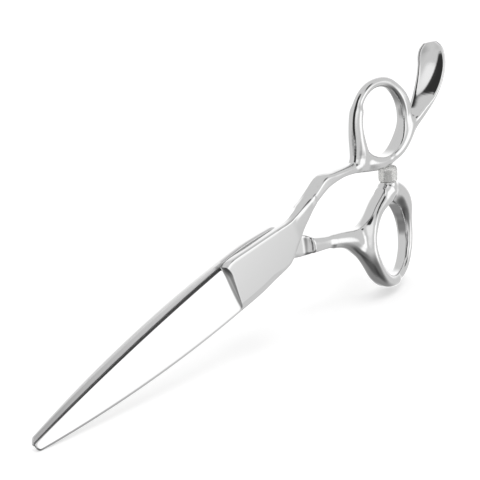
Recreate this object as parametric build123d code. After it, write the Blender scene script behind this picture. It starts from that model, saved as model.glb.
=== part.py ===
from build123d import *

import math
import os

# Hair cutting shears, 7 inch, offset crane handle, right handed.  Millimetres.
#
# Row frame: +Z up, the shears lie flat and closed on a table.  The origin is on the
# pivot axis, at the outer face of the tension dial, which is the lowest face of the
# pivot and rests on the table.  The tips point to -X, the handles to +X, the finger
# ring lies on the +Y side and the thumb ring on the -Y side.
#
# Everything below is drawn about the ride plane, the plane where the two blades
# meet.  The finger half's blade is above it and the thumb half's blade is below it.
# export_node() lifts each finished piece from the ride plane to the row frame.

# ---------------------------------------------------------------- blades
TIP_X = -91.0                 # tip of both blades
BLADE_ROOT_X = -12.0          # where the blade's face meets the ricasso
TIP_EDGE_Y = 0.60             # cutting edge to the centre line, at the tip
TIP_SPINE_Y = 2.15            # spine to the centre line, at the tip
EDGE_ROOT_Y = 7.3             # cutting edge to the centre line, at the root
SPINE_ROOT_Y = 8.30           # spine to the centre line, at the root
EDGE_BULGE = 1.0              # rise of the convex edge over its chord
SPINE_BULGE = 1.85            # rise of the spine over its chord
RIDE_GAP = 0.10               # air between the two inner faces
EDGE_LAND = 0.12              # thickness left at the honed edge
SPINE_TIP_T = 1.1             # spine thickness at the tip
SPINE_ROOT_T = 2.45           # spine thickness at the root
SPINE_ROUND = 0.45            # broken corner along the spine
HOLLOW_DEPTH = 0.14           # depth of the hollow grind on the inner face
BLADE_SPANS = 5               # spans of the blade's loft
HOLLOW_FULL_WIDTH = 6.0       # blade width from which the hollow is full depth

# ---------------------------------------------------------------- ricasso
RICASSO_T = 2.70              # thickness of each half at the pivot
RICASSO_SHOULDER_Y = 8.0      # highest point of the edge side, just behind the root
SHOULDER_BACK = 3.0           # how far behind the root it lies
EDGE_SWELL = 0.15             # rise of the edge side at the pivot, over its chord
SPINE_DRAW_IN = 0.15          # narrowing of the spine side from the root to the pivot
WELD_X = 12.0                 # plane where blade steel and handle steel are welded
WELD_EDGE_Y = 6.45            # edge side at the weld
WELD_SPINE_Y = 6.8            # spine side at the weld
WELD_OVERLAP = 3.0            # how far the blank runs on before it is cut at the weld
SCOOP_R = 2.3                 # concave run-out of the blade grind
SCOOP_REACH = 1.6             # how far its wall cuts in past the root
SCOOP_LEAN = 4.6              # degrees that the run-out leans back across the blade
SHOULDER_R = 26.0             # inner flat's radius about the pivot, where the shank thickens

# ---------------------------------------------------------------- handles
SHANK_T = 4.6                 # shank thickness
BAR_ROUND = 0.38              # corner radius of shank and horn, by their thinner side
FINGER_RING = (73.7, 12.7)    # centre of the finger hole
FINGER_HOLE_R = 11.5
FINGER_WALL = 3.1
FINGER_RING_T = 3.8
THUMB_RING = (62.8, -25.8)    # centre of the thumb hole
THUMB_RING_Z = -0.4           # height of its centre over the ride plane
THUMB_HOLE_R = 12.4
THUMB_WALL = 3.3
THUMB_OFFSET = (-0.4, -0.3)   # the rim's centre, from the hole's
THUMB_RING_T = 5.2
THUMB_TILT = 13.3             # degrees, the far side leans towards the table
FINGER_ROUND = 1.2
THUMB_ROUND = 1.2

# ---------------------------------------------------------------- bumper
BUMPER_D = 6.4
BUMPER_L = 5.4
BUMPER_LEAN = 20.0            # degrees from +Y towards +X
BUMPER_GAP = 0.70             # air between its middle and the finger ring when closed
BUMPER_BEARING = 264.0        # degrees round the finger ring where it touches
BUMPER_ROUND = 0.9
BUMPER_SEAT_L = 3.0           # length of the horn's boss under the bumper
BUMPER_LIP = 0.4              # how far the bumper stands out over the boss
BUMPER_POST_D = 2.0
BUMPER_POST_L = 3.4           # post's length inside the bumper
BUMPER_THREAD_L = 3.0         # post's length in the horn
BUMPER_FLANGE_D = 3.2
BUMPER_FLANGE_T = 0.5

# ---------------------------------------------------------------- pivot
STUD_BASE_D = 6.0             # stud's base, set in a blind bore of the finger half
STUD_BASE_T = 1.7
STUD_SHAFT_D = 4.0
STUD_THREAD_D = 3.4
KEY_PIN_D = 0.9               # dowel that stops the stud turning
KEY_PIN_L = 1.5
BUSH_D = 6.0
BUSH_FLANGE_D = 7.6
BUSH_FLANGE_T = 0.35
RUN_CLEAR = 0.03              # radial clearance of a running fit
SEAT_CLEAR = 0.01             # clearance of a seated piece
WASHER_D = 12.0               # ride washer between the halves
WASHER_T = 0.40
BEARING_D = 8.8               # thrust bearing's outer diameter
BEARING_BORE = STUD_SHAFT_D + 1.2
POCKET_DEPTH = 1.25           # bearing seat in the thumb half's outer face
RACE_T = 0.40
BALL_D = 1.0
BALL_COUNT = 10
CAGE_T = 0.5
SPRING_T = 0.30               # dished spring's sheet
SPRING_H = 0.75               # dished spring's height as fitted
SPRING_LIP = 0.6              # how far the spring stands out past the ratchet
RATCHET_D = BEARING_D - 2.0
RATCHET_T = 0.55
RATCHET_TEETH = 24
RATCHET_TOOTH = 0.2           # depth of the notches
RATCHET_NOTCH_L = 1.2
RATCHET_NOTCH_W = 0.35
LEAF_D = BEARING_D - 0.4
LEAF_BORE = STUD_THREAD_D + 1.2
LEAF_T = 0.20
LEAF_RIM = 1.10               # width outside the slits that free its arms
LEAF_SLIT_W = 0.25
LEAF_SLIT_FROM_Y = 1.75       # each slit spans the arc above this line
DIAL_POCKET_GAP = 0.25        # air round the bearing
DIAL_WALL = 0.75              # wall of its cup, before the flutes
DIAL_D = BEARING_D + 2 * (DIAL_POCKET_GAP + DIAL_WALL)
DIAL_PLATE_T = 1.60
DIAL_GAP = 0.12               # air between its rim and the thumb half
DIAL_CHAMFER = 0.35
DIAL_FLUTES = 20
DIAL_FLUTE_R = 0.42
DIAL_FLUTE_OUT = 0.1          # flutes' centres, beyond the dial's edge
SLOT_L = DIAL_D - 2.6
SLOT_W = 1.2                  # coin slot across the dial
SLOT_DEPTH = 0.50
CAP_SCREW_D = 5.2             # retaining screw's head, wider than the stud's thread
CAP_SCREW_T = 0.60
CAP_RECESS = 0.05             # how far its head lies under the dial's face
CAP_SLOT_W = 0.5
CAP_SLOT_DEPTH = 0.25
CAP_THREAD_D = 1.6
CAP_THREAD_L = 1.5

# ---------------------------------------------------------------- levels below the ride plane
INNER = RIDE_GAP / 2
OUTER = INNER + RICASSO_T
POCKET = OUTER - POCKET_DEPTH
LOWER_RACE = POCKET + RACE_T
BALL_LEVEL = LOWER_RACE + BALL_D / 2
UPPER_RACE = LOWER_RACE + BALL_D
SPRING_LEVEL = UPPER_RACE + RACE_T
RATCHET_LEVEL = SPRING_LEVEL + SPRING_H
LEAF_LEVEL = RATCHET_LEVEL + RATCHET_T
DIAL_FLOOR = LEAF_LEVEL + LEAF_T
DIAL_FACE = DIAL_FLOOR + DIAL_PLATE_T
REST_HEIGHT = DIAL_FACE       # ride plane's height above the table


def export_node(name, shape):
    """Writes one sub-part, lifted from the ride plane to the row frame."""
    lifted = Pos(0, 0, REST_HEIGHT) * shape
    export_step(lifted, os.path.join("parts", name + ".step"))


def disc(diameter, top, bottom, bore=0.0):
    """A flat ring about the pivot axis, from top down to bottom."""
    body = Pos(0, 0, (top + bottom) / 2) * Cylinder(diameter / 2, top - bottom)
    if bore:
        body -= Pos(0, 0, (top + bottom) / 2) * Cylinder(bore / 2, 2 * (top - bottom))
    return body


def bar(stations):
    """A smooth bar lofted through rounded sections: (x, y, z, width, thickness)."""
    sections = []
    last = len(stations) - 1
    for i, (x, y, z, width, thickness) in enumerate(stations):
        before, after = stations[max(i - 1, 0)], stations[min(i + 1, last)]
        run = Vector(after[0] - before[0], after[1] - before[1], after[2] - before[2])
        across = run.cross(Vector(0, 0, 1))
        plane = Plane(origin=(x, y, z), x_dir=across, z_dir=run)
        corner = BAR_ROUND * min(width, thickness)
        sections.append(plane * RectangleRounded(width, thickness, corner))
    return loft(sections)


# ---------------------------------------------------------------- blade halves
def edge_y(s):
    """Cutting edge at share s of the blade, 0 at the tip and 1 at the root."""
    chord = TIP_EDGE_Y + (EDGE_ROOT_Y - TIP_EDGE_Y) * s
    return chord + 4 * EDGE_BULGE * s * (1 - s)


def spine_y(s):
    """Spine at share s of the blade."""
    chord = TIP_SPINE_Y + (SPINE_ROOT_Y - TIP_SPINE_Y) * s
    return -chord - 4 * SPINE_BULGE * s * (1 - s)


def blade_section(s):
    """Section of the upper blade: hollow inside, flat sloping face, thick spine."""
    x = TIP_X + (BLADE_ROOT_X - TIP_X) * s
    high, low = edge_y(s), spine_y(s)
    thick = SPINE_TIP_T + (SPINE_ROOT_T - SPINE_TIP_T) * s
    hollow = HOLLOW_DEPTH * min(1.0, (high - low) / HOLLOW_FULL_WIDTH)
    edge = (high, INNER)
    heel = (low, INNER)
    crown = ((high + low) / 2, INNER + hollow)
    plane = Plane(origin=(x, 0, 0), x_dir=(0, 1, 0), z_dir=(1, 0, 0))
    with BuildSketch(plane) as sketch:
        with BuildLine():
            ThreePointArc(edge, crown, heel)
            Polyline(
                heel,
                (low, INNER + thick - SPINE_ROUND),
                (low + SPINE_ROUND, INNER + thick),
                (high, INNER + EDGE_LAND),
                edge,
            )
        make_face()
    return sketch.sketch


def blade():
    """The upper blade, lofted from tip to root."""
    return loft([blade_section(i / BLADE_SPANS) for i in range(BLADE_SPANS + 1)])


def half_outline(neck_edge, neck_spine):
    """Plan of a half from the blade's root to the neck, whose sides are lists of points."""
    with BuildSketch() as sketch:
        with BuildLine():
            edge_side = Spline(
                (BLADE_ROOT_X, EDGE_ROOT_Y),
                (BLADE_ROOT_X + SHOULDER_BACK, RICASSO_SHOULDER_Y),
                (0, (RICASSO_SHOULDER_Y + WELD_EDGE_Y) / 2 + EDGE_SWELL),
                (WELD_X, WELD_EDGE_Y),
                *neck_edge,
            )
            spine_side = Spline(
                (BLADE_ROOT_X, -SPINE_ROOT_Y),
                (0, -SPINE_ROOT_Y + SPINE_DRAW_IN),
                (WELD_X, -WELD_SPINE_Y),
                *neck_spine,
            )
            Line(edge_side @ 1, spine_side @ 1)
            Line(edge_side @ 0, spine_side @ 0)
        make_face()
    return sketch.sketch


def run_out():
    """Concave wall that the blade's grind leaves across the ricasso."""
    slope = math.degrees(
        math.atan2(SPINE_ROOT_T - EDGE_LAND, SPINE_ROOT_Y + EDGE_ROOT_Y)
    )
    centre = Pos(BLADE_ROOT_X - SCOOP_R + SCOOP_REACH, 0, INNER + SPINE_ROOT_T / 2 + SCOOP_R)
    return centre * Rot(0, 0, -SCOOP_LEAN) * Rot(90 - slope, 0, 0) * Cylinder(SCOOP_R, 5 * SPINE_ROOT_Y)


def beyond_weld(side):
    """A block that fills everything on one side of the weld, +1 the handle side."""
    size = 4 * abs(TIP_X)
    return Pos(WELD_X + side * size / 2, 0, 0) * Box(size, size, size)


def plate(neck_edge, neck_spine):
    """The flat of a half, ricasso and neck, as thick as the ricasso."""
    outline = half_outline(neck_edge, neck_spine)
    return Pos(0, 0, INNER) * extrude(outline, RICASSO_T)


def blade_blank():
    """Upper blade with its ricasso, up to the weld."""
    past_weld = WELD_X + WELD_OVERLAP
    stub = [(past_weld, WELD_EDGE_Y - 0.1)], [(past_weld, -WELD_SPINE_Y + 0.8)]
    return blade() + plate(*stub) - run_out() - beyond_weld(1)


def inner_relief(side):
    """What is cleared beyond the ride plane, out to the shoulder radius."""
    depth = SHANK_T * 2
    return Pos(0, 0, side * (-INNER + depth / 2)) * Cylinder(SHOULDER_R, depth)


def ring(place, hole_r, offset, rim_r, thickness, rounding, tilt=0.0):
    """A finger ring: a round rim with an off-centre hole, all its corners rounded."""
    body = Pos(*offset, 0) * Cylinder(rim_r, thickness) - Cylinder(hole_r, thickness * 2)
    body = fillet(body.edges().filter_by(GeomType.CIRCLE), rounding)
    return Pos(*place) * Rot(0, tilt, 0) * body


def finger_blade():
    """Upper blade, with the blind bore that holds the pivot's stud."""
    body = blade_blank()
    body -= disc(STUD_BASE_D + 2 * SEAT_CLEAR, INNER + STUD_BASE_T + SEAT_CLEAR, -1)
    return body - key_pin(SEAT_CLEAR)


def finger_handle():
    """Neck, shank, finger ring and the finger rest behind it."""
    neck = plate(
        [(18, 6.0), (22, 6.5), (27, 7.5)],
        [(14.5, -6.1), (16.5, -4.9), (19, -2.8), (22, -0.9), (25, 1.3), (28.6, 3.2)],
    )
    shank = bar([
        (22.5, 3.0, 0, 6.6, 4.9),
        (26, 4.6, 0, 4.8, 4.8),
        (30, 5.9, 0, 4.0, SHANK_T),
        (34, 7.2, 0, 4.2, SHANK_T),
        (39.3, 8.4, 0, 4.6, SHANK_T),
        (44.3, 7.8, 0, 3.5, SHANK_T),
        (49, 7.0, 0, 3.2, SHANK_T),
        (55, 5.3, 0, 3.6, SHANK_T),
        (61, 2.9, 0, 4.4, SHANK_T),
        (66, 1.0, 0, 3.4, 4.2),
    ])
    bow = ring(
        (*FINGER_RING, 0), FINGER_HOLE_R, (0, 0), FINGER_HOLE_R + FINGER_WALL,
        FINGER_RING_T, FINGER_ROUND,
    )
    rest = bar([
        (81, 1.6, 0, 3.0, 4.6),
        (87, 4.2, 0, 4.6, 4.8),
        (94, 8.0, 0, 6.4, 5.4),
        (100, 11.0, 0, 5.6, 6.4),
        (105, 14.6, 0, 5.0, 7.2),
        (108.1, 18.6, 0, 4.8, 7.4),
        (109.9, 22.4, 0, 4.4, 7.0),
        (110.6, 25.3, 0, 2.2, 4.8),
    ])
    hole = Pos(*FINGER_RING, 0) * Cylinder(FINGER_HOLE_R, SHANK_T * 3)
    body = shank + rest - hole + bow - inner_relief(-1)
    return body + (neck - beyond_weld(-1))


def bumper_place():
    """Frame of the bumper: origin at its foot, +Z along its axis."""
    lean = math.radians(BUMPER_LEAN)
    axis = Vector(math.sin(lean), math.cos(lean), 0)
    bearing = math.radians(BUMPER_BEARING)
    reach = FINGER_HOLE_R + FINGER_WALL + BUMPER_GAP
    touch = Vector(*FINGER_RING) + reach * Vector(math.cos(bearing), math.sin(bearing), 0)
    return Plane(origin=touch - axis * BUMPER_L, x_dir=(0, 0, 1), z_dir=axis)


def thumb_blade():
    """Lower blade, with the pivot's bore and the seats of what runs in it."""
    body = Rot(180, 0, 0) * blade_blank()
    body -= disc(BUSH_D, 1, -OUTER - 1)
    body -= disc(BUSH_FLANGE_D, 1, -INNER - (WASHER_T - RIDE_GAP) - BUSH_FLANGE_T)
    body -= disc(WASHER_D, 1, -INNER - (WASHER_T - RIDE_GAP))
    return body - disc(BEARING_D + 2 * SEAT_CLEAR, -POCKET, -OUTER - 1)


def thumb_handle():
    """Neck, shank, thumb ring and the horn that carries the bumper."""
    neck = plate(
        [(17.8, 7.4), (21.8, 8.7), (27, 10.2)],
        [(14.5, -5.8), (16.5, -4.2), (19, -1.7), (22, 0.8), (25, 3.2), (28.4, 5.4)],
    )
    shank = bar([
        (22.5, -5.2, 0, 6.6, 4.9),
        (27, -7.6, 0, 4.9, 4.7),
        (32, -9.9, 0, 4.1, 4.4),
        (37, -11.8, 0, 3.9, 4.4),
        (42, -14.2, 0, 4.4, 4.6),
        (46.0, -18.0, 0.6, 5.6, 5.0),
        (48.5, -24.0, 1.4, 5.0, 5.4),
        (50.6, -31.0, 1.8, 3.8, 5.4),
    ])
    horn = bar([
        (44, -15.0, 0, 4.0, 4.6),
        (50, -15.6, 0, 4.0, 4.8),
        (56, -14.6, 0, 4.0, 5.0),
        (61, -12.9, 0, 4.4, 5.2),
        (66, -11.4, 0, 5.6, 5.4),
        (70.5, -12.0, -0.4, 6.6, 5.8),
        (74.5, -16.0, -1.2, 5.6, 6.4),
    ])
    place = (*THUMB_RING, THUMB_RING_Z)
    bow = ring(
        place, THUMB_HOLE_R, THUMB_OFFSET, THUMB_HOLE_R + THUMB_WALL,
        THUMB_RING_T, THUMB_ROUND, THUMB_TILT,
    )
    hole = Pos(*place) * Rot(0, THUMB_TILT, 0) * Cylinder(THUMB_HOLE_R, 40)
    body = shank + horn - hole + bow - inner_relief(1)
    seat = bumper_place()
    boss = Cylinder(BUMPER_D / 2 - BUMPER_LIP, BUMPER_SEAT_L)
    body += seat * Pos(0, 0, -BUMPER_SEAT_L / 2) * boss
    body -= seat * Pos(0, 0, BUMPER_L) * Cylinder(BUMPER_D, 2 * BUMPER_L)
    post = BUMPER_POST_D / 2 + SEAT_CLEAR
    body -= seat * Cylinder(post, 2 * (BUMPER_THREAD_L + SEAT_CLEAR))
    return body + Rot(180, 0, 0) * (neck - beyond_weld(-1))


# ---------------------------------------------------------------- bumper
def bumper():
    """Clear stop, a rounded cylinder moulded round its post."""
    body = Pos(0, 0, BUMPER_L / 2) * Cylinder(BUMPER_D / 2, BUMPER_L)
    body = fillet(body.edges().filter_by(GeomType.CIRCLE), BUMPER_ROUND)
    cavity = Cylinder(BUMPER_FLANGE_D / 2, 2 * BUMPER_FLANGE_T)
    cavity += Cylinder(BUMPER_POST_D / 2, 2 * BUMPER_POST_L)
    return bumper_place() * (body - cavity)


def bumper_post():
    """Threaded post with a small flange, screwed into the horn."""
    body = Pos(0, 0, (BUMPER_POST_L - BUMPER_THREAD_L) / 2) * Cylinder(
        BUMPER_POST_D / 2, BUMPER_POST_L + BUMPER_THREAD_L
    )
    body += Pos(0, 0, BUMPER_FLANGE_T / 2) * Cylinder(
        BUMPER_FLANGE_D / 2, BUMPER_FLANGE_T
    )
    return bumper_place() * body


# ---------------------------------------------------------------- pivot stack
def key_pin(clear=0.0):
    """Dowel between the stud's base and the finger half, half in each."""
    top = INNER + KEY_PIN_L
    place = Pos(STUD_BASE_D / 2, 0, (top + INNER) / 2)
    return place * Cylinder(KEY_PIN_D / 2 + clear, top - INNER + 2 * clear)


def pivot_stud():
    """Fixed post of the pivot: base, ground shaft and threaded end."""
    body = disc(STUD_BASE_D, INNER + STUD_BASE_T, INNER)
    body += disc(STUD_SHAFT_D, INNER, -SPRING_LEVEL)
    body += disc(STUD_THREAD_D, -SPRING_LEVEL, -DIAL_FACE + CAP_SCREW_T + CAP_RECESS)
    body -= key_pin(SEAT_CLEAR)
    hole_floor = -DIAL_FACE + CAP_SCREW_T + CAP_RECESS + CAP_THREAD_L
    body -= disc(CAP_THREAD_D + 2 * SEAT_CLEAR, hole_floor, -DIAL_FACE)
    return body


def ride_washer():
    """Low-friction washer between the two ricassos."""
    top = INNER - SEAT_CLEAR
    bottom = -INNER - (WASHER_T - RIDE_GAP) + SEAT_CLEAR
    return disc(WASHER_D - 2 * RUN_CLEAR, top, bottom, STUD_SHAFT_D + 2 * RUN_CLEAR)


def pivot_bush():
    """Flanged bush pressed into the thumb half."""
    seat = -INNER - (WASHER_T - RIDE_GAP) - SEAT_CLEAR
    body = disc(BUSH_FLANGE_D - 2 * SEAT_CLEAR, seat, seat - BUSH_FLANGE_T + SEAT_CLEAR)
    body += disc(BUSH_D - 2 * SEAT_CLEAR, seat, -POCKET + SEAT_CLEAR)
    return body - disc(STUD_SHAFT_D + 2 * RUN_CLEAR, 1, -OUTER - 1)


def race(top, bore):
    """Flat washer of the thrust bearing."""
    return disc(
        BEARING_D - 2 * RUN_CLEAR, top - SEAT_CLEAR / 2, top - RACE_T + SEAT_CLEAR / 2,
        bore,
    )


def ball_places():
    """Centres of the bearing's balls."""
    pitch = (BEARING_D + BEARING_BORE) / 4
    return [
        Rot(0, 0, 360 * i / BALL_COUNT) * Pos(pitch, 0, -BALL_LEVEL)
        for i in range(BALL_COUNT)
    ]


def bearing_balls():
    """The balls, as separate solids in one node."""
    return Compound(children=[p * Sphere(BALL_D / 2 - SEAT_CLEAR / 2) for p in ball_places()])


def ball_cage():
    """Cage that spaces the balls."""
    body = disc(
        BEARING_D - 6 * RUN_CLEAR, -BALL_LEVEL + CAGE_T / 2, -BALL_LEVEL - CAGE_T / 2,
        BEARING_BORE + 2 * RUN_CLEAR,
    )
    for place in ball_places():
        body -= place * Cylinder(BALL_D / 2 + RUN_CLEAR, CAGE_T * 2)
    return body


def spring_washer():
    """Dished spring that sets the blade tension, inner edge up against the race."""
    high, low = -SPRING_LEVEL - SEAT_CLEAR, -RATCHET_LEVEL + SEAT_CLEAR
    inner_r, outer_r = STUD_THREAD_D / 2 + 2 * RUN_CLEAR, RATCHET_D / 2 + SPRING_LIP
    with BuildSketch(Plane.XZ) as sketch:
        with BuildLine():
            Polyline(
                (inner_r, low + SPRING_T), (outer_r, high), (outer_r, high - SPRING_T),
                (inner_r, low), close=True,
            )
        make_face()
    return revolve(sketch.sketch, Axis.Z)


def ratchet_plate():
    """Toothed plate keyed on the stud, which the click leaf rides over."""
    body = disc(
        RATCHET_D, -RATCHET_LEVEL, -LEAF_LEVEL + SEAT_CLEAR, STUD_THREAD_D + 2 * SEAT_CLEAR
    )
    for i in range(RATCHET_TEETH):
        notch = Box(2 * RATCHET_NOTCH_L, RATCHET_NOTCH_W, 2 * RATCHET_TOOTH)
        notch = Pos(RATCHET_D / 2, 0, -LEAF_LEVEL) * notch
        body -= Rot(0, 0, 360 * i / RATCHET_TEETH) * notch
    return body


def click_leaf():
    """Thin sprung leaf fixed in the dial, with two arms over the ratchet."""
    body = disc(LEAF_D, -LEAF_LEVEL, -DIAL_FLOOR + SEAT_CLEAR, LEAF_BORE)
    outer_r = LEAF_D / 2 - LEAF_RIM
    inner_r = outer_r - LEAF_SLIT_W
    below = Pos(0, LEAF_SLIT_FROM_Y - DIAL_D, 0) * Box(2 * DIAL_D, 2 * DIAL_D, DIAL_D)
    slit = Cylinder(outer_r, 1) - Cylinder(inner_r, 2) - below
    slit = Pos(0, 0, -LEAF_LEVEL - LEAF_T / 2) * slit
    for turn in (0, 180):
        body -= Rot(0, 0, turn) * slit
    return body


def tension_dial():
    """Fluted cup that turns on the stud's thread and squeezes the spring."""
    rim = -OUTER - DIAL_GAP
    body = disc(DIAL_D, rim, -DIAL_FACE)
    body = chamfer(body.edges().sort_by(Axis.Z)[0], DIAL_CHAMFER)
    body -= disc(BEARING_D + 2 * DIAL_POCKET_GAP, rim + 1, -DIAL_FLOOR)
    body -= disc(STUD_THREAD_D + 2 * RUN_CLEAR, 0, -DIAL_FACE - 1)
    recess = -DIAL_FACE + CAP_SCREW_T + SEAT_CLEAR
    body -= disc(CAP_SCREW_D + 2 * RUN_CLEAR, recess, -DIAL_FACE - 1)
    for i in range(DIAL_FLUTES):
        flute = Pos(DIAL_D / 2 + DIAL_FLUTE_OUT, 0, -DIAL_FACE) * Cylinder(DIAL_FLUTE_R, 2 * DIAL_FACE)
        body -= Rot(0, 0, 360 * i / DIAL_FLUTES) * flute
    slot = Pos(0, 0, -DIAL_FACE) * Box(SLOT_L, SLOT_W, 2 * SLOT_DEPTH)
    return body - slot


def cap_screw():
    """Retaining screw in the stud's end, its slot in line with the dial's."""
    head_top = -DIAL_FACE + CAP_SCREW_T
    body = disc(CAP_SCREW_D, head_top, -DIAL_FACE + CAP_RECESS)
    body += disc(CAP_THREAD_D, head_top + CAP_THREAD_L, head_top)
    return body - Pos(0, 0, -DIAL_FACE) * Box(DIAL_D, CAP_SLOT_W, 2 * (CAP_RECESS + CAP_SLOT_DEPTH))


def main():
    os.makedirs("parts", exist_ok=True)
    export_node("finger_blade", finger_blade())
    export_node("finger_handle", finger_handle())
    export_node("thumb_blade", thumb_blade())
    export_node("thumb_handle", thumb_handle())
    export_node("bumper", bumper())
    export_node("bumper_post", bumper_post())
    export_node("pivot_stud", pivot_stud())
    export_node("stud_key_pin", key_pin())
    export_node("ride_washer", ride_washer())
    export_node("pivot_bush", pivot_bush())
    export_node("blade_side_race", race(-POCKET, BEARING_BORE))
    export_node("bearing_balls", bearing_balls())
    export_node("ball_cage", ball_cage())
    export_node("dial_side_race", race(-UPPER_RACE, STUD_SHAFT_D + 2 * RUN_CLEAR))
    export_node("spring_washer", spring_washer())
    export_node("ratchet_plate", ratchet_plate())
    export_node("click_leaf", click_leaf())
    export_node("tension_dial", tension_dial())
    export_node("cap_screw", cap_screw())


main()
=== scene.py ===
import math

import bmesh
import bpy
import numpy as np
from mathutils import Matrix, Vector


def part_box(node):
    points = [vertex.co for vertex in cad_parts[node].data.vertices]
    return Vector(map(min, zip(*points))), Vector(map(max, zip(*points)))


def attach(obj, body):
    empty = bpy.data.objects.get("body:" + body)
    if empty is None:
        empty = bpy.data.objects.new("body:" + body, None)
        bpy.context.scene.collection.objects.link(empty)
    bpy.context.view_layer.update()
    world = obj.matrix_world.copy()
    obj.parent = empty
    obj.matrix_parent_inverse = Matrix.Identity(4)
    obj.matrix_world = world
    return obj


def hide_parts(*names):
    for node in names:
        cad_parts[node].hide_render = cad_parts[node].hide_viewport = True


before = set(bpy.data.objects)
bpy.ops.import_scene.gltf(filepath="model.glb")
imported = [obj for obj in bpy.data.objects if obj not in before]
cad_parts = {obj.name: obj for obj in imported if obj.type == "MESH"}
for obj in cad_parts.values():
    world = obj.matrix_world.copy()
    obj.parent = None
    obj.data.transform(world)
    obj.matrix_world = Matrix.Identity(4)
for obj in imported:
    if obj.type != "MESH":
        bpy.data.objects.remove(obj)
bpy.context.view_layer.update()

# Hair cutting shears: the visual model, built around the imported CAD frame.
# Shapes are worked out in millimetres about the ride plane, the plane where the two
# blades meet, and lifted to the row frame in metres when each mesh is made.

MM = 0.001

# ---------------------------------------------------------------- sizes, in mm
INNER = 0.05                                 # inner faces, from the ride plane
RIDE_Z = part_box("finger_blade")[0][2] / MM - INNER
TIP_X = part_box("finger_blade")[0][0] / MM
WELD_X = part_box("finger_blade")[1][0] / MM   # blades and handles are welded here
RICASSO_T = 2.70
ROOT_X = -12.0                               # where the blade's face ends
TIP_EDGE_Y = 0.60
TIP_SPINE_Y = 2.15
TIP_R = 1.1                                  # how far back the tip is rounded
EDGE_ROOT_Y = 7.3
SPINE_ROOT_Y = 8.30
EDGE_BULGE = 1.0
SPINE_BULGE = 1.85
EDGE_LAND = 0.12
SPINE_TIP_T = 1.1
SPINE_ROOT_T = 2.45
EDGE_ROLL = 0.30                             # rise of the convex edge at the root
EDGE_ROLL_W = 0.14
EDGE_REFLECTION_FACES = 5                               # faces of a section that take the painted dark reflection along the cutting edge
HOLLOW = 0.14
SPINE_BEVEL = [                              # ricasso's bevel, in from its side and top
    (1.9, 0.0), (1.5, 0.13), (1.1, 0.26), (0.7, 0.39), (0.35, 0.5), (0.12, 0.72), (0.0, 1.05),
]
CORNER = 0.7                                 # blend of the ricasso's corners
SCOOP_FOOT_X = -12.3                         # foot of the scoop's wall, on the centre line
SCOOP_TOP_X = -10.6                          # its crisp top, on the centre line
SCOOP_LEAN = 0.02                            # how far both lean, in x per y
SCOOP_CURL_Y = 3.2                           # the top curls towards the tip past here
SCOOP_CURL = 0.085                           # and this much, in x per y squared
SCOOP_FADE = (6, 3.5)                        # runs over which both die away, either side
BEVEL_STOP = 1.5                             # bevel ends this far before the weld
BEVEL_FADE = 5                               # and fades over this run
BLADE_PITCH = 1.3                            # spacing of the blade's rings
RICASSO_PITCH = 0.9
SHOULDER_R = 26.6                            # inner flat's radius about the pivot
SHOULDER_FILLET = 3.0                        # blend at the foot of that shoulder
NECK_SINK_X = 19                             # the neck's face sinks from here
NECK_SINK_RUN = 11                           # over this run
NECK_SINK = 1.0                              # by this much
NECK_END_X = 31                              # and ends here, inside the shank
NECK_EDGE = [(WELD_X, 6.45), (18, 6.0), (22, 6.4), (27, 7.2), (32, 7.6)]
NECK_SPINE = [
    (WELD_X, -6.8), (14.5, -6.1), (16.5, -4.9), (19, -2.8), (22, -0.9), (25, 1.3),
    (28.6, 3.5), (32, 5.6),
]
THUMB_NECK_EDGE = [(WELD_X, 6.45), (17.8, 7.4), (21.8, 8.7), (27, 9.9), (32, 10.9)]
THUMB_NECK_SPINE = [
    (WELD_X, -6.8), (14.5, -5.8), (16.5, -4.2), (19, -1.7), (22, 0.8), (25, 3.2),
    (28.4, 5.7), (32, 8.6),
]
FINGER_RING = (73.7, 12.7)
FINGER_HOLE_R = 11.5
THUMB_RING = (62.8, -25.8, -0.4)
THUMB_HOLE_R = 12.4
THUMB_TILT = math.radians(13.3)
BUMPER_D = 6.4
BUMPER_L = 5.4
BUMPER_LEAN = math.radians(20)
BUMPER_BEARING = math.radians(264)
BUMPER_LIP = 0.5                             # bumper overhangs its seat by this
BUMPER_SEAT_L = 3.0
FINGER_WALL = 3.1                            # finger ring's width at the bumper
BUMPER_GAP = 0.70                            # air between the two when closed
BUMPER_REACH = FINGER_HOLE_R + FINGER_WALL + BUMPER_GAP


# ---------------------------------------------------------------- curves
def smooth_row(rows, spacing, closed=False):
    """Rows of numbers, whose first three are a place, on a smooth curve through them."""
    rows = np.array(rows, float)
    count = len(rows)
    if closed:
        before, after = np.roll(rows, 1, 0), np.roll(rows, -1, 0)
    else:
        before = np.vstack([2 * rows[0] - rows[1], rows[:-1]])
        after = np.vstack([rows[1:], 2 * rows[-1] - rows[-2]])
    slope = (after - before) / 2
    out = []
    for i in range(count if closed else count - 1):
        a, b = rows[i], rows[(i + 1) % count]
        run = np.linalg.norm(b[:3] - a[:3])
        for t in np.arange(0, 1, 1 / max(2, math.ceil(run / spacing))):
            out.append(
                (2 * t**3 - 3 * t**2 + 1) * a + (t**3 - 2 * t**2 + t) * slope[i]
                + (3 * t**2 - 2 * t**3) * b + (t**3 - t**2) * slope[(i + 1) % count]
            )
    if not closed:
        out.append(rows[-1])
    return np.array(out)


def side_curve(points):
    """A smooth y against x through the points, as samples for np.interp."""
    rows = smooth_row([(x, y, 0) for x, y in points], 0.4)
    return rows[:, 0], rows[:, 1]


def along(curve, x):
    """The curve's y at each x."""
    return np.interp(x, *curve)


# ---------------------------------------------------------------- distance fields
def union(a, b, soft):
    """Two bodies joined with a fillet of about this size."""
    h = np.maximum(soft - np.abs(a - b), 0) / soft
    return np.minimum(a, b) - h * h * soft / 4


def common(a, b, soft):
    """What two bodies share, with its new edge broken by about this size."""
    return -union(-a, -b, soft)


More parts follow.
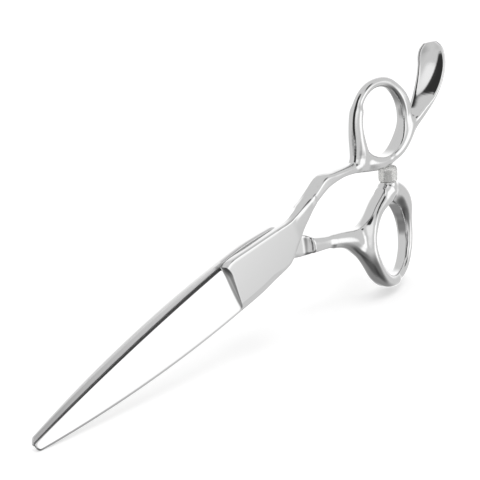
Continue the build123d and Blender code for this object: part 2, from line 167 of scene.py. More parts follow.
def box_2d(u, v, half_u, half_v, corner):
    """Distance to a rectangle with round corners."""
    over_u, over_v = np.abs(u) - half_u + corner, np.abs(v) - half_v + corner
    outside = np.hypot(np.maximum(over_u, 0), np.maximum(over_v, 0))
    return outside + np.minimum(np.maximum(over_u, over_v), 0) - corner


class Limb:
    """A bar along a smooth path.

    A station is (x, y, z, width, depth, roll in degrees, corner, bevel across,
    bevel down, dish): the bevel breaks the upper front corner, the dish curls the
    section.
    """

    REACH = 5.0

    def __init__(self, stations, closed=False):
        rows = smooth_row(stations, 1.2, closed)
        if closed:
            rows = np.vstack([rows, rows[:1]])
        self.rows = rows
        self.closed = closed
        places = rows[:, :3]
        if closed:
            ahead = np.vstack([places[1:], places[1:2]])
            behind = np.vstack([places[-2:-1], places[:-1]])
        else:
            ahead = np.vstack([places[1:], places[-1:]])
            behind = np.vstack([places[:1], places[:-1]])
        run = ahead - behind
        self.run = run / np.linalg.norm(run, axis=1)[:, None]
        wide = rows[:, 3:5].max()
        self.low = places.min(0) - wide / 2
        self.high = places.max(0) + wide / 2

    def __call__(self, p):
        gap = np.maximum(np.maximum(self.low - p, p - self.high), 0)
        far = np.linalg.norm(gap, axis=1)
        near = far < self.REACH
        out = far + 0.5
        out[near] = self.close(p[near])
        return out

    def close(self, p):
        places = self.rows[:, :3]
        best = np.full(len(p), np.inf)
        at = np.zeros(len(p))
        for i in range(len(places) - 1):
            a, step = places[i], places[i + 1] - places[i]
            t = np.clip((p - a) @ step / (step @ step), 0, 1)
            d = ((p - a - t[:, None] * step) ** 2).sum(1)
            better = d < best
            best[better] = d[better]
            at[better] = i + t[better]
        i = np.minimum(at.astype(int), len(places) - 2)
        t = (at - i)[:, None]
        row = self.rows[i] * (1 - t) + self.rows[i + 1] * t
        run = self.run[i] * (1 - t) + self.run[i + 1] * t
        run /= np.linalg.norm(run, axis=1)[:, None]
        side = np.stack([-run[:, 1], run[:, 0], np.zeros(len(p))], 1)
        side /= np.linalg.norm(side, axis=1)[:, None]
        rise = np.cross(run, side)
        away = p - row[:, :3]
        roll = np.radians(row[:, 5])
        a, b = (away * side).sum(1), (away * rise).sum(1)
        u = a * np.cos(roll) + b * np.sin(roll)
        v = b * np.cos(roll) - a * np.sin(roll)
        width, depth, corner = row[:, 3], row[:, 4], row[:, 6]
        v = v + row[:, 9] * (1 - np.minimum(np.abs(2 * u / width), 1) ** 2)
        d = box_2d(u, v, width / 2, depth / 2, corner)
        across, down = row[:, 7], row[:, 8]
        cut = (u - width / 2 + across) * down + (v - depth / 2) * across
        cut /= np.maximum(np.hypot(across, down), 1e-6)
        bevelled = common(d, cut, 0.8)
        d = np.where(across > 0.02, bevelled, d)
        if not self.closed:
            over = np.abs((away * run).sum(1))
            ends = (at < 1e-6) | (at > len(places) - 1 - 1e-6)
            capped = np.hypot(np.maximum(d, 0), over) + np.minimum(d, 0) * (over < 1e-6)
            d = np.where(ends, capped, d)
        return d


def ring_limb(centre, hole_r, stations):
    """A closed limb round a hole: stations are (bearing, width, depth, z, corner)."""
    given = np.array(stations, float)
    around = np.vstack([given[-1:] - (360, 0, 0, 0, 0), given, given[:1] + (360, 0, 0, 0, 0)])
    rows = []
    for bearing in range(0, 360, 10):
        i = np.searchsorted(around[:, 0], bearing, side="right") - 1
        t = (bearing - around[i, 0]) / (around[i + 1, 0] - around[i, 0])
        ease = t * t * (3 - 2 * t)
        width, depth, z, corner = around[i, 1:] * (1 - ease) + around[i + 1, 1:] * ease
        a = math.radians(bearing)
        r = hole_r + width / 2
        place = (centre[0] + r * math.cos(a), centre[1] + r * math.sin(a), z)
        rows.append((*place, width, depth, 0, corner, 0, 0, 0))
    return Limb(rows, closed=True)


def neck_field(p, edge, spine):
    """The flat neck of the upper half, between two side curves."""
    x, y, z = p.T
    up = along(edge, x)
    down = along(spine, x)
    ease = 0.25
    up_slope = (along(edge, x + ease) - up) / ease
    down_slope = (along(spine, x + ease) - down) / ease
    d = common((y - up) / np.hypot(1, up_slope), (down - y) / np.hypot(1, down_slope), 0.1)
    sink = np.clip((x - NECK_SINK_X) / NECK_SINK_RUN, 0, 1)
    d = common(d, z - INNER - RICASSO_T + NECK_SINK * sink * sink, CORNER)
    return np.maximum(common(d, INNER - z, CORNER), x - NECK_END_X)


# ---------------------------------------------------------------- meshing
def sampled(field, axes):
    """The field on a grid, worked out in full only near its surface."""
    shape = tuple(len(a) for a in axes)
    block = 4
    step = axes[0][1] - axes[0][0]
    coarse = [a[::block] + step * (block - 1) / 2 for a in axes]
    centres = np.stack(np.meshgrid(*coarse, indexing="ij"), -1).reshape(-1, 3)
    rough = field(centres).reshape([len(c) for c in coarse])
    full = rough
    for axis in range(3):
        full = np.repeat(full, block, axis)
    full = full[: shape[0], : shape[1], : shape[2]].copy()
    near = np.abs(full) < step * block * 1.5
    spots = np.stack([axes[k][i] for k, i in enumerate(np.nonzero(near))], -1)
    parts = [field(spots[i:i + 200000]) for i in range(0, len(spots), 200000)]
    full[near] = np.concatenate(parts)
    return full


def surface(field, low, high, step):
    """Vertices and quads on the field's zero level, by surface nets."""
    axes = [np.arange(low[k], high[k] + step, step) for k in range(3)]
    values = sampled(field, axes)
    inside = values < 0
    cells = tuple(len(a) - 1 for a in axes)
    total = np.zeros(cells + (3,))
    hits = np.zeros(cells)
    base = [slice(0, n) for n in cells]
    for axis in range(3):
        others = [k for k in range(3) if k != axis]
        for i in (0, 1):
            for j in (0, 1):
                first = list(base)
                first[others[0]] = slice(i, cells[others[0]] + i)
                first[others[1]] = slice(j, cells[others[1]] + j)
                second = list(first)
                second[axis] = slice(1, cells[axis] + 1)
                a, b = values[tuple(first)], values[tuple(second)]
                crossed = (a < 0) != (b < 0)
                share = np.where(crossed, a / np.where(crossed, a - b, 1), 0)
                hits += crossed
                total[..., axis] += share
                total[..., others[0]] += crossed * i
                total[..., others[1]] += crossed * j
    active = hits > 0
    number = np.full(cells, -1)
    number[active] = np.arange(active.sum())
    place = total[active] / hits[active][:, None]
    corner = np.stack([axes[k][i] for k, i in enumerate(np.nonzero(active))], -1)
    points = corner + place * step
    quads = []
    for axis in range(3):
        b, c = (axis + 1) % 3, (axis + 2) % 3
        first = [slice(1, n) for n in cells]
        first[axis] = slice(0, cells[axis])
        second = list(first)
        second[axis] = slice(1, cells[axis] + 1)
        starts, stops = inside[tuple(first)], inside[tuple(second)]
        for flip, crossed in ((False, starts & ~stops), (True, ~starts & stops)):
            at = np.stack(np.nonzero(crossed), 1)
            at[:, b] += 1
            at[:, c] += 1
            ring = []
            for db, dc in ((0, 0), (-1, 0), (-1, -1), (0, -1)):
                cell = at.copy()
                cell[:, b] += db
                cell[:, c] += dc
                ring.append(number[tuple(cell.T)])
            quad = np.stack(ring, 1)
            quads.append(quad[:, ::-1] if flip else quad)
    return points, np.concatenate(quads)


def settled(field, points, step, rounds=3):
    """The points moved on to the zero level along the field's slope."""
    ease = 0.01
    for _ in range(rounds):
        value = field(points)
        slope = np.empty_like(points)
        for axis in range(3):
            shift = np.zeros(3)
            shift[axis] = ease
            slope[:, axis] = (field(points + shift) - field(points - shift)) / (2 * ease)
        size = np.maximum((slope**2).sum(1), 0.2)
        move = np.clip(value / size, -step, step)
        points = points - slope * move[:, None]
    return points


def new_object(name, points, faces):
    """A mesh object from points in mm about the ride plane."""
    mesh = bpy.data.meshes.new(name)
    lifted = (np.asarray(points, float) + (0, 0, RIDE_Z)) * MM
    mesh.from_pydata(lifted.tolist(), [], [list(f) for f in faces])
    mesh.validate()
    obj = bpy.data.objects.new(name, mesh)
    bpy.context.scene.collection.objects.link(obj)
    return obj


def shade(obj, degrees):
    """Smooth shading, with edges sharper than this kept crisp."""
    mesh = obj.data
    mesh.shade_smooth()
    mesh.set_sharp_from_angle(angle=math.radians(degrees))


def grown(name, field, low, high, step):
    """A handle meshed from its field and cut square at the weld."""
    points, quads = surface(field, low, high, step)
    points = settled(field, points, step)
    obj = new_object(name, points, quads)
    bm = bmesh.new()
    bm.from_mesh(obj.data)
    everything = bm.verts[:] + bm.edges[:] + bm.faces[:]
    bmesh.ops.bisect_plane(
        bm, geom=everything, plane_co=(WELD_X * MM, 0, 0), plane_no=(1, 0, 0),
        clear_inner=True,
    )
    rim = [e for e in bm.edges if e.is_boundary]
    bmesh.ops.contextual_create(bm, geom=rim)
    bmesh.ops.recalc_face_normals(bm, faces=bm.faces)
    bm.to_mesh(obj.data)
    bm.free()
    shade(obj, 50)
    return obj


# ---------------------------------------------------------------- handles
GRID = 0.36                                  # pitch that they are meshed on
FINGER_SPAN = (WELD_X - 2, -8, -5), (115, 30, 5)
TABLE_CLEAR = 0.02                           # above the row frame's ground
THUMB_SPAN = (WELD_X - 2, -47, -7.2), (86, 8, 7.5)


def flipped(p):
    """A point of the lower half, turned over into the upper half's frame."""
    return p * (1, -1, -1)


def pivot_relief(p, inward):
    """What is cleared past the ride plane inside the shoulder radius."""
    r = np.hypot(p[:, 0], p[:, 1]) - SHOULDER_R
    return common(r, inward, SHOULDER_FILLET)


FINGER_SHANK = Limb([
    (19.0, 1.2, -0.9, 4.0, 2.4, 0, 0.9, 0.5, 0.8, 0),
    (22.5, 2.9, -0.3, 5.6, 3.8, 0, 1.0, 0.7, 1.2, 0),
    (26.0, 4.5, 0.1, 4.9, 4.6, 0, 1.0, 0.8, 1.6, 0),
    (30.0, 5.9, 0.2, 4.1, 4.8, 0, 1.0, 0.8, 1.6, 0),
    (34.0, 7.1, 0.2, 4.1, 4.8, 0, 1.0, 0.8, 1.6, 0),
    (39.3, 8.4, 0.2, 4.6, 4.8, 0, 1.0, 0.8, 1.6, 0),
    (44.3, 7.8, 0.2, 3.6, 4.7, 0, 1.0, 0.7, 1.4, 0),
    (49.0, 6.9, 0.2, 3.1, 4.6, 0, 1.1, 0.7, 1.2, 0),
    (55.0, 5.2, 0.1, 3.4, 4.4, 0, 1.2, 0.6, 0.9, 0),
    (61.0, 2.6, 0.0, 3.4, 4.2, 0, 1.3, 0.3, 0.4, 0),
    (67.0, 0.6, 0.0, 2.6, 4.0, 0, 1.2, 0, 0, 0),
    (72.0, -0.2, 0.0, 1.6, 3.2, 0, 0.8, 0, 0, 0),
])
FINGER_BOW = ring_limb(FINGER_RING, FINGER_HOLE_R, [
    (0, 4.8, 4.4, 0.1, 1.6),
    (40, 3.9, 3.8, 0, 1.7),
    (80, 3.2, 3.3, 0, 1.55),
    (150, 3.3, 3.3, 0, 1.6),
    (190, 3.3, 3.5, 0, 1.6),
    (225, 3.3, 3.9, 0, 1.6),
    (270, 2.8, 4.2, 0, 1.3),
    (320, 3.6, 4.4, 0.1, 1.4),
])
FINGER_GUSSET = Limb([
    (64.4, 20.4, 0.0, 1.8, 2.4, 0, 0.8, 0, 0, 0),
    (62.4, 15.8, 0.0, 2.8, 3.2, 0, 1.3, 0, 0, 0),
    (60.3, 11.4, 0.1, 4.2, 3.8, 0, 1.8, 0, 0, 0),
    (58.7, 7.6, 0.1, 5.0, 4.2, 0, 1.9, 0, 0, 0),
    (57.8, 4.8, 0.0, 2.6, 3.0, 0, 1.1, 0, 0, 0),
])
TANG = Limb([
    (74.0, -0.3, 0.0, 3.0, 1.6, -90, 0.8, 0, 0, 0),
    (79.0, 0.2, 0.0, 4.2, 2.6, -90, 1.2, 0, 0, 0),
    (84.5, 2.3, 0.0, 4.8, 3.0, -88, 1.3, 0, 0, 0),
    (90.0, 5.0, 0.0, 5.4, 3.6, -82, 1.4, 0, 0, 0.1),
    (95.5, 7.6, 0.1, 6.6, 4.0, -70, 1.5, 0, 0, 0.4),
    (100.4, 10.4, 0.2, 8.2, 3.6, -58, 1.4, 0, 0, 0.8),
    (104.6, 14.0, 0.3, 9.2, 3.1, -52, 1.3, 0, 0, 1.1),
    (107.5, 17.8, 0.3, 9.6, 2.9, -48, 1.2, 0, 0, 1.2),
    (108.9, 21.4, 0.2, 9.4, 2.7, -46, 1.15, 0, 0, 1.0),
    (109.6, 24.0, 0.1, 7.6, 2.4, -46, 1.05, 0, 0, 0.6),
    (109.9, 25.6, 0.0, 4.4, 1.8, -46, 0.8, 0, 0, 0.2),
])
FINGER_NECK = side_curve([(4, 7.0)] + NECK_EDGE), side_curve([(4, -6.9)] + NECK_SPINE)


def finger_field(p):
    """Distance to the finger half's handle."""
    hole = FINGER_HOLE_R - np.hypot(p[:, 0] - FINGER_RING[0], p[:, 1] - FINGER_RING[1])
    arms = union(union(FINGER_SHANK(p), FINGER_GUSSET(p), 3.0), TANG(p), 2.0)
    arms = common(arms, hole + 0.3, 0.8)
    body = union(arms, FINGER_BOW(p), 4.0)
    body = common(body, hole, 0.25)
    body = union(body, neck_field(p, *FINGER_NECK), 1.6)
    return common(body, -pivot_relief(p, p[:, 2] - INNER), 0.5)


THUMB_SHANK = Limb([
    (19.0, -3.6, 0.9, 4.0, 2.4, 0, 0.9, 0.5, 0.4, 0),
    (22.5, -5.2, 0.5, 5.6, 3.9, 0, 1.0, 0.7, 0.5, 0),
    (27.0, -7.5, 0.1, 4.8, 4.7, 0, 1.1, 0.8, 0.5, 0),
    (32.0, -9.6, 0.05, 4.1, 4.6, 0, 1.2, 0.8, 0.5, 0),
    (37.0, -11.5, 0.05, 3.9, 4.6, 0, 1.2, 0.8, 0.5, 0),
    (42.0, -13.5, 0.05, 3.9, 4.6, 0, 1.1, 0.8, 0.5, 0),
    (47.0, -15.1, 0.1, 3.7, 4.7, 0, 1.0, 0.9, 0.5, 0),
    (52.0, -15.7, 0.2, 3.6, 4.9, 0, 1.0, 1.0, 0.5, 0),
    (57.0, -15.1, 0.2, 3.7, 5.0, 0, 1.0, 1.1, 0.5, 0),
    (61.5, -13.5, 0.1, 4.0, 5.0, 0, 1.0, 1.3, 0.6, 0),
    (65.5, -11.6, 0.0, 4.6, 5.0, 0, 1.1, 1.4, 0.6, 0),
    (68.6, -9.6, 0.0, 5.0, 5.2, 0, 1.3, 1.4, 0.6, 0),
])
THUMB_WEB = Limb([
    (36.0, -11.8, 0.0, 1.6, 2.4, 0, 0.8, 0, 0, 0),
    (40.0, -13.6, 0.1, 3.2, 4.0, 0, 1.5, 0, 0, 0),
    (43.6, -16.4, 0.5, 4.8, 4.6, 0, 1.9, 0, 0, 0),
    (46.6, -20.8, 1.2, 5.0, 4.9, 0, 2.1, 0, 0, 0),
    (48.7, -26.4, 1.8, 4.2, 4.9, 0, 2.0, 0, 0, 0),
    (50.5, -31.8, 1.8, 3.6, 4.8, 0, 1.7, 0, 0, 0),
    (53.6, -36.6, 1.2, 2.6, 4.5, 0, 1.3, 0, 0, 0),
    (58.4, -39.6, 0.2, 1.6, 3.6, 0, 0.8, 0, 0, 0),
])
THUMB_CHEEK = Limb([
    (65.5, -9.8, 0.0, 3.6, 3.8, 0, 1.5, 0, 0, 0),
    (70.4, -10.5, -0.3, 5.4, 5.0, 0, 2.0, 0, 0, 0),
    (74.0, -13.0, -0.9, 5.8, 5.6, 0, 2.3, 0, 0, 0),
    (76.6, -17.0, -1.7, 6.2, 5.8, 0, 2.4, 0, 0, 0),
    (78.0, -21.2, -2.5, 5.2, 5.4, 0, 2.1, 0, 0, 0),
    (77.8, -25.8, -3.0, 3.4, 4.6, 0, 1.6, 0, 0, 0),
    (76.2, -30.6, -3.0, 2.4, 4.0, 0, 1.2, 0, 0, 0),
    (73.4, -35.0, -2.6, 1.6, 3.4, 0, 0.8, 0, 0, 0),
])
THUMB_BOW = ring_limb((0, 0), THUMB_HOLE_R, [
    (0, 2.9, 5.0, 0, 1.4),
    (90, 3.0, 5.0, 0, 1.4),
    (180, 3.1, 5.0, 0, 1.5),
    (225, 3.1, 5.0, 0, 1.6),
    (270, 3.1, 5.0, 0, 1.6),
    (315, 3.4, 5.0, 0, 1.6),
])
THUMB_NECK = (
    side_curve([(4, 7.0)] + THUMB_NECK_EDGE), side_curve([(4, -6.9)] + THUMB_NECK_SPINE)
)
TILT = np.array(Matrix.Rotation(THUMB_TILT, 3, "Y"))


def bumper_frame():
    """The bumper's foot, axis and two directions across it."""
    axis = np.array((math.sin(BUMPER_LEAN), math.cos(BUMPER_LEAN), 0))
    out = np.array((math.cos(BUMPER_BEARING), math.sin(BUMPER_BEARING), 0))
    foot = np.array((*FINGER_RING, 0)) + BUMPER_REACH * out - axis * BUMPER_L
    return foot, axis


def thumb_field(p):
    """Distance to the thumb half's handle."""
    q = (p - THUMB_RING) @ TILT
    hole = THUMB_HOLE_R - np.hypot(q[:, 0], q[:, 1])
    arms = union(THUMB_SHANK(p), THUMB_WEB(p), 3.5)
    cheek = THUMB_CHEEK(p)
    foot, axis = bumper_frame()
    height = (p - foot) @ axis
    aside = np.linalg.norm(p - foot - height[:, None] * axis, axis=1)
    half_seat = BUMPER_SEAT_L / 2
    sunk = np.abs(height + half_seat) - half_seat
    seat = common(aside - BUMPER_D / 2 + BUMPER_LIP, sunk, 0.4)
    arms = union(arms, seat, 1.6)
    arms = common(arms, hole + 0.3, 1.0)
    body = union(arms, THUMB_BOW(q), 3.5)
    body = union(body, cheek, 1.6)
    body = common(body, -common(aside - BUMPER_D, -height, 0.2), 0.2)
    body = common(body, hole, 0.3)
    body = union(body, neck_field(flipped(p), *THUMB_NECK), 1.6)
    body = common(body, -pivot_relief(p, -INNER - p[:, 2]), 0.5)
    return np.maximum(body, TABLE_CLEAR - RIDE_Z - p[:, 2])


# ---------------------------------------------------------------- blades
HANDLE_STEEL, HONED, PAINTED_EDGE_REFLECTION = 1, 2, 3     # places in a half's list of materials
FLAT_COSINE = 0.95                           # a face this square to the ride plane is inner


def edge_side(x):
    """Cutting edge of the blade, then the edge side of the ricasso."""
    s = (x - TIP_X) / (ROOT_X - TIP_X)
    blade = TIP_EDGE_Y + (EDGE_ROOT_Y - TIP_EDGE_Y) * s + 4 * EDGE_BULGE * s * (1 - s)
    return np.where(x < ROOT_X, blade, along(RICASSO_EDGE, x))


def spine_side(x):
    """Spine of the blade, then the spine side of the ricasso."""
    s = (x - TIP_X) / (ROOT_X - TIP_X)
    blade = TIP_SPINE_Y + (SPINE_ROOT_Y - TIP_SPINE_Y) * s + 4 * SPINE_BULGE * s * (1 - s)
    return np.where(x < ROOT_X, -blade, along(RICASSO_SPINE, x))


RICASSO_EDGE = side_curve(
    [(-15, 7.1), (ROOT_X, EDGE_ROOT_Y), (-9, 8.0), (0, 7.4)] + NECK_EDGE[:2]
)
RICASSO_SPINE = side_curve(
    [(-15, -8.5), (ROOT_X, -SPINE_ROOT_Y), (0, -8.15)] + NECK_SPINE[:2]
)


def corner_curve(soft, count):
    """How far each point of a broken corner lies inside its two faces."""
    rows = []
    for i in range(count):
        t = soft * (2 * i / (count - 1) - 1)
        deep = (soft - abs(t)) ** 2 / (4 * soft)
        rows.append((deep + max(-t, 0), deep + max(t, 0)))
    return rows


def blade_face(x, y, high, low):
    """Height of the blade's outer face: a convex roll at the edge, then a slope."""
    s = np.clip((x - TIP_X) / (ROOT_X - TIP_X), 0, 1)
    thick = SPINE_TIP_T + (SPINE_ROOT_T - SPINE_TIP_T) * s
    q = (high - y) / max(high - low, 1e-6)
    roll = (EDGE_ROLL / 2) * (1 + s) * (1 - math.exp(-(high - y) / EDGE_ROLL_W)) * (1 - q)
    return INNER + EDGE_LAND + (thick - EDGE_LAND) * q + roll


def scoop_shift(x, y):
    """How far a point at this y lies from its station, which follows the scoop."""
    lean = SCOOP_LEAN * y
    curl = -SCOOP_CURL * max(y - SCOOP_CURL_Y, 0) ** 2
    share = min(max((x - SCOOP_FOOT_X) / (SCOOP_TOP_X - SCOOP_FOOT_X), 0), 1)
    before = math.exp(-(min(x - SCOOP_FOOT_X, 0) / SCOOP_FADE[0]) ** 2)
    after = math.exp(-(max(x - SCOOP_TOP_X, 0) / SCOOP_FADE[1]) ** 2)
    return (lean + curl * share) * before * after


def side_at(side, x):
    """The outline's y where a station meets it."""
    y = float(side(x))
    for _ in range(4):
        y = float(side(x + scoop_shift(x, y)))
    return y


def section(x, cut):
    """One ring of points round the half; cut is the share of the scoop's wall climbed."""
    tip_left = x - TIP_X
    shrink = 1.0
    if tip_left < TIP_R:
        shrink = math.sqrt(max(1 - (1 - tip_left / TIP_R) ** 2, 0.02))
    high, low = side_at(edge_side, x) * shrink, side_at(spine_side, x) * shrink
    full = INNER + RICASSO_T
    ring = []

    def top(y):
        """Height of the outer face at this y."""
        face = blade_face(min(x + scoop_shift(x, y), ROOT_X + 2), y, high, low)
        return full if cut >= 1 else face + (full - face) * cut

    def put(y, z):
        ring.append((x + scoop_shift(x, y), y, z))

    edge_soft = CORNER if cut >= 1 else 0.02
    spine_soft = min(0.9 * (1 - cut) + CORNER * cut, 0.4 * (high - low))
    for aside, deep in reversed(corner_curve(edge_soft, 5)):
        put(high - aside, max(top(high - aside) - deep, INNER + 0.02))
    bevel = cut * min(max((WELD_X - BEVEL_STOP - x) / BEVEL_FADE, 0), 1)
    plain = corner_curve(spine_soft, len(SPINE_BEVEL))
    spine_rows = [
        (aside * (1 - bevel) + bevel_aside * bevel, deep * (1 - bevel) + bevel_deep * bevel)
        for (aside, deep), (bevel_aside, bevel_deep) in zip(plain, SPINE_BEVEL)
    ]
    start, stop = high - edge_soft, low + spine_rows[0][0]
    rows = 20
    for i in range(1, rows):
        y = start + (stop - start) * i / rows
        put(y, top(y))
    for aside, deep in spine_rows:
        put(low + aside, top(stop) - deep)
    inner_soft = CORNER if cut >= 1 else 0.08
    for aside, deep in reversed(corner_curve(inner_soft, 5)):
        put(low + aside, INNER + deep)
    hollow = HOLLOW * min(1.0, (high - low) / 6) * (1 - cut)
    start, stop = low + inner_soft, high - edge_soft
    for i in range(1, rows):
        y = start + (stop - start) * i / rows
        put(y, INNER + hollow * math.sin(math.pi * i / rows))
    for aside, deep in corner_curve(edge_soft, 5):
        put(high - aside, INNER + deep)
    return ring


def half_stations():
    """Stations from the tip to the weld, as (x, share of the scoop's wall climbed)."""
    out = [(TIP_X + TIP_R * (1 - math.cos(math.radians(a))), 0) for a in (6, 20, 40, 60, 75)]
    out += [(x, 0) for x in np.arange(TIP_X + TIP_R, SCOOP_FOOT_X - 0.7, BLADE_PITCH)]
    steps = 12
    for i in range(steps + 1):
        a = math.radians(90 * i / steps)
        x = SCOOP_FOOT_X + (SCOOP_TOP_X - SCOOP_FOOT_X) * math.sin(a)
        out.append((x, min(1 - math.cos(a), 0.999)))
    out.append((SCOOP_TOP_X + 0.02, 1))
    out += [(x, 1) for x in np.arange(SCOOP_TOP_X + 0.5, WELD_X - 0.4, RICASSO_PITCH)]
    out.append((WELD_X, 1))
    return out


def half_mesh(name, lower):
    """One half's blade and ricasso, closed at the tip and at the weld."""
    rings = [section(x, cut) for x, cut in half_stations()]
    points = [p for ring in rings for p in ring]
    size = len(rings[0])
    faces = []
    for i in range(len(rings) - 1):
        for j in range(size):
            k = (j + 1) % size
            faces.append((i * size + j, i * size + k, (i + 1) * size + k, (i + 1) * size + j))
    faces.append(tuple(range(size)))
    last = (len(rings) - 1) * size
    faces.append(tuple(last + j for j in reversed(range(size))))
    points = np.array(points)
    if lower:
        points = flipped(points)
    obj = new_object(name, points, faces)
    bm = bmesh.new()
    bm.from_mesh(obj.data)
    bmesh.ops.recalc_face_normals(bm, faces=bm.faces)
    bm.to_mesh(obj.data)
    bm.free()
    shade(obj, 28)
    inward = 1 if lower else -1
    for face in obj.data.polygons:
        if face.normal.z * inward > FLAT_COSINE:
            face.material_index = HONED
        elif face.index % size < EDGE_REFLECTION_FACES and face.center.x < SCOOP_FOOT_X * MM:
            # faces along the cutting edge get the dark steel: painted reflection, not the steel's
            # own colour
            face.material_index = PAINTED_EDGE_REFLECTION
        elif face.center.x > SCOOP_FOOT_X * MM:
            face.material_index = HANDLE_STEEL
    return obj


# ---------------------------------------------------------------- bumper
def bumper_mesh():
    """The clear stop, turned about its axis."""
    foot, axis = bumper_frame()
    across = np.array((0, 0, 1.0))
    third = np.cross(axis, across)
    r, h = BUMPER_D / 2, BUMPER_L
    profile = [
        (0, 0), (r - 0.75, 0), (r - 0.35, 0.1), (r - 0.1, 0.35), (r - 0.02, 0.8),
        (r, h * 0.5), (r - 0.03, h - 1.3), (r - 0.18, h - 0.75), (r - 0.5, h - 0.3),
        (r - 1.0, h - 0.06), (r - 1.8, h), (0, h),
    ]
    count = 64
    points = []
    for radius, height in profile:
        for i in range(count):
            a = 2 * math.pi * i / count
            spot = foot + axis * height + radius * (math.cos(a) * across + math.sin(a) * third)
            points.append(spot)
    faces = []
    for j in range(len(profile) - 1):
        for i in range(count):
            k = (i + 1) % count
            faces.append((j * count + i, j * count + k, (j + 1) * count + k, (j + 1) * count + i))
    obj = new_object("bumper_body", points, faces)
    bm = bmesh.new()
    bm.from_mesh(obj.data)
    bmesh.ops.remove_doubles(bm, verts=bm.verts, dist=1e-7)
    bmesh.ops.recalc_face_normals(bm, faces=bm.faces)
    bm.to_mesh(obj.data)
    bm.free()
    shade(obj, 60)
    return obj


# ---------------------------------------------------------------- materials
def material(name):
    """A new node material and its main shader."""
    mat = bpy.data.materials.new(name)
    mat.use_nodes = True
    return mat, mat.node_tree.nodes["Principled BSDF"]


def noise(mat, scale, stretch=(1, 1, 1), detail=2.0):
    """Noise in object space; stretch squeezes it along an axis."""
    nodes, links = mat.node_tree.nodes, mat.node_tree.links
    where = nodes.new("ShaderNodeTexCoord")
    squeeze = nodes.new("ShaderNodeMapping")
    squeeze.inputs["Scale"].default_value = stretch
    grain = nodes.new("ShaderNodeTexNoise")
    grain.inputs["Scale"].default_value = scale
    grain.inputs["Detail"].default_value = detail
    links.new(where.outputs["Object"], squeeze.inputs["Vector"])
    links.new(squeeze.outputs["Vector"], grain.inputs["Vector"])
    return grain.outputs["Fac"]


def spread(mat, value, low, high, from_low=0.3, from_high=0.7):
    """A noise value mapped to a range."""
    node = mat.node_tree.nodes.new("ShaderNodeMapRange")
    node.inputs["From Min"].default_value = from_low
    node.inputs["From Max"].default_value = from_high
    node.inputs["To Min"].default_value = low
    node.inputs["To Max"].default_value = high
    mat.node_tree.links.new(value, node.inputs["Value"])
    return node.outputs["Result"]


def bump(mat, shader, height, distance, strength=1.0):
    """Fine relief on the shader's normal."""
    node = mat.node_tree.nodes.new("ShaderNodeBump")
    node.inputs["Distance"].default_value = distance
    node.inputs["Strength"].default_value = strength
    mat.node_tree.links.new(height, node.inputs["Height"])
    mat.node_tree.links.new(node.outputs["Normal"], shader.inputs["Normal"])


def steel(name, tone, low, high, lines, relief):
    """Steel whose polishing lines run along X."""
    mat, shader = material(name)
    shader.inputs["Base Color"].default_value = (*tone, 1)
    shader.inputs["Metallic"].default_value = 1.0
    grain = noise(mat, lines, (0.02, 1, 1), 3.0)
    cloud = noise(mat, 90, (1, 1, 1), 2.0)
    nodes, links = mat.node_tree.nodes, mat.node_tree.links
    both = nodes.new("ShaderNodeMath")
    both.operation = "MULTIPLY_ADD"
    both.inputs[1].default_value = 0.5
    links.new(grain, both.inputs[0])
    half = nodes.new("ShaderNodeMath")
    half.operation = "MULTIPLY"
    half.inputs[1].default_value = 0.5
    links.new(cloud, half.inputs[0])
    links.new(half.outputs[0], both.inputs[2])
    links.new(spread(mat, both.outputs[0], low, high), shader.inputs["Roughness"])
    bump(mat, shader, grain, relief)
    return mat


def clear_silicone():
    """Milky clear silicone."""
    mat, shader = material("milky_silicone")
    shader.inputs["Base Color"].default_value = (0.97, 0.97, 0.95, 1)
    shader.inputs["Transmission Weight"].default_value = 0.45
    shader.inputs["IOR"].default_value = 1.41
    cloud = noise(mat, 500)
    mat.node_tree.links.new(spread(mat, cloud, 0.18, 0.34), shader.inputs["Roughness"])
    bump(mat, shader, cloud, 0.00001)
    return mat


def plastic(name, tone, rough):
    """Moulded polymer or a bearing bronze, with a faint grain."""
    mat, shader = material(name)
    shader.inputs["Base Color"].default_value = (*tone, 1)
    grain = noise(mat, 900)
    mat.node_tree.links.new(spread(mat, grain, rough, rough + 0.15), shader.inputs["Roughness"])
    bump(mat, shader, grain, 0.00001)
    return mat


def paint(obj, mat, *more):
    """Every slot of the object takes this material, and more are added after it."""
    if not obj.material_slots:
        obj.data.materials.append(mat)
    for slot in obj.material_slots:
        slot.material = mat
    for extra in more:
        obj.data.materials.append(extra)


# ---------------------------------------------------------------- stage
EYE = Vector((-234.68, 169.98, 269.42))          # camera, in mm in the row frame
RIGHT = Vector((0.62496, -0.28393, 0.72719))
UP = Vector((0.49394, 0.86517, -0.08669))
BACK = Vector((-0.60453, 0.41336, 0.68094))
GROUND = Vector((0.261, 0.954, 0.148))           # up, for the surface that it leans on
GROUND_AT = Vector((65.0, -43.9, 3.5))
LENS = 97.5
SENSOR = 36
FLOOR_REACH = 0.6                                # half its side, in metres
FLOOR_TONE = 0.8
FLOOR_GLOW = 0.42
OVERHEAD_ENERGY = 0.9
OVERHEAD_SPREAD = math.radians(45)


def camera():
    """The camera, looking along -BACK."""
    lens = bpy.data.cameras.new("camera")
    lens.lens = LENS
    lens.sensor_width = SENSOR
    lens.clip_start = 0.01
    lens.clip_end = 20
    obj = bpy.data.objects.new("camera", lens)
    turn = Matrix((RIGHT, UP, BACK)).transposed().to_4x4()
    obj.matrix_world = Matrix.Translation(EYE * MM) @ turn
    bpy.context.scene.collection.objects.link(obj)
    bpy.context.scene.camera = obj


